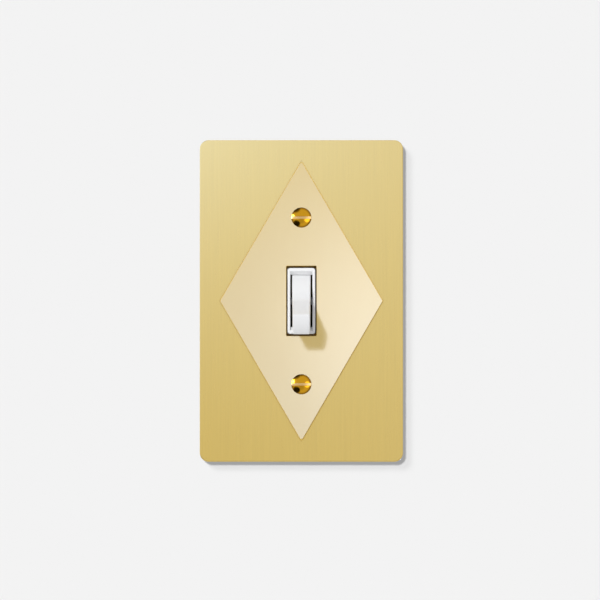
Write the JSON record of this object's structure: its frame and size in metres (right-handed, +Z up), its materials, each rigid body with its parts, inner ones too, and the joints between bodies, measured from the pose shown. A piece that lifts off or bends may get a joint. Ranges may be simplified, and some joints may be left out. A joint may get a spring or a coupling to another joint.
{
  "type": "toggle light switch",
  "caption": "Single-pole toggle light switch with a brushed brass wall plate and a raised pale diamond inlay, for a one-gang wall box.",
  "frame": {"origin": "centre of the switch on the wall's surface, in the plane of the plate's back rim", "axes": "+Z up, +X to the right as seen from the front, front faces -Y, switch body lies towards +Y"},
  "size_m": [0.0736, 0.0434, 0.1164],
  "materials": {
    "brushed_brass": "satin, vertical brushing, clear lacquer",
    "pale_brass": "fine satin, pale gold",
    "polished_brass": "polished",
    "white_plastic": "gloss, moulded",
    "dark_plastic": "matte, moulded",
    "zinc_steel": "zinc plated",
    "strip_brass": "rolled strip, as stamped",
    "screw_brass": "turned",
    "contact_silver": "silver alloy, satin",
    "spring_steel": "drawn wire and strip",
    "green_steel": "green ground-screw finish",
    "retainer_plastic": "natural plastic sheet"
  },
  "bodies": {
    "switch_body": {"wall_plate": "brushed_brass", "diamond_inlay": "pale_brass", "plate_screws": "polished_brass", "mounting_strap": "zinc_steel", "switch_frame": "white_plastic", "switch_base": "dark_plastic", "frame_rivets": "zinc_steel", "rocker_pin": "zinc_steel", "line_terminal": "strip_brass", "load_terminal": "strip_brass", "fixed_contact": "contact_silver", "wire_clips": "spring_steel", "terminal_screws": "screw_brass", "ground_screw": "green_steel", "box_screws": "zinc_steel", "screw_retainers": "retainer_plastic"},
    "toggle": {"toggle_lever": "white_plastic", "coil_spring": "spring_steel"},
    "rocker": {"contact_rocker": "strip_brass", "moving_contact": "contact_silver"}
  },
  "joints": [
    {"name": "toggle_swing", "type": "hinge", "parent": "switch_body", "child": "toggle", "pos_m": [0, 0.0036, 0], "axis": [-1, 0, 0], "range_deg": [0, 45], "deforming": ["coil_spring"]},
    {"name": "rocker_swing", "type": "hinge", "parent": "switch_body", "child": "rocker", "pos_m": [0, 0.018, 0], "axis": [-1, 0, 0], "range_deg": [0, 16.2]}
  ],
  "couplings": [
    {"joint": "rocker_swing", "follows": "toggle_swing", "ratio": 0.36}
  ]
}
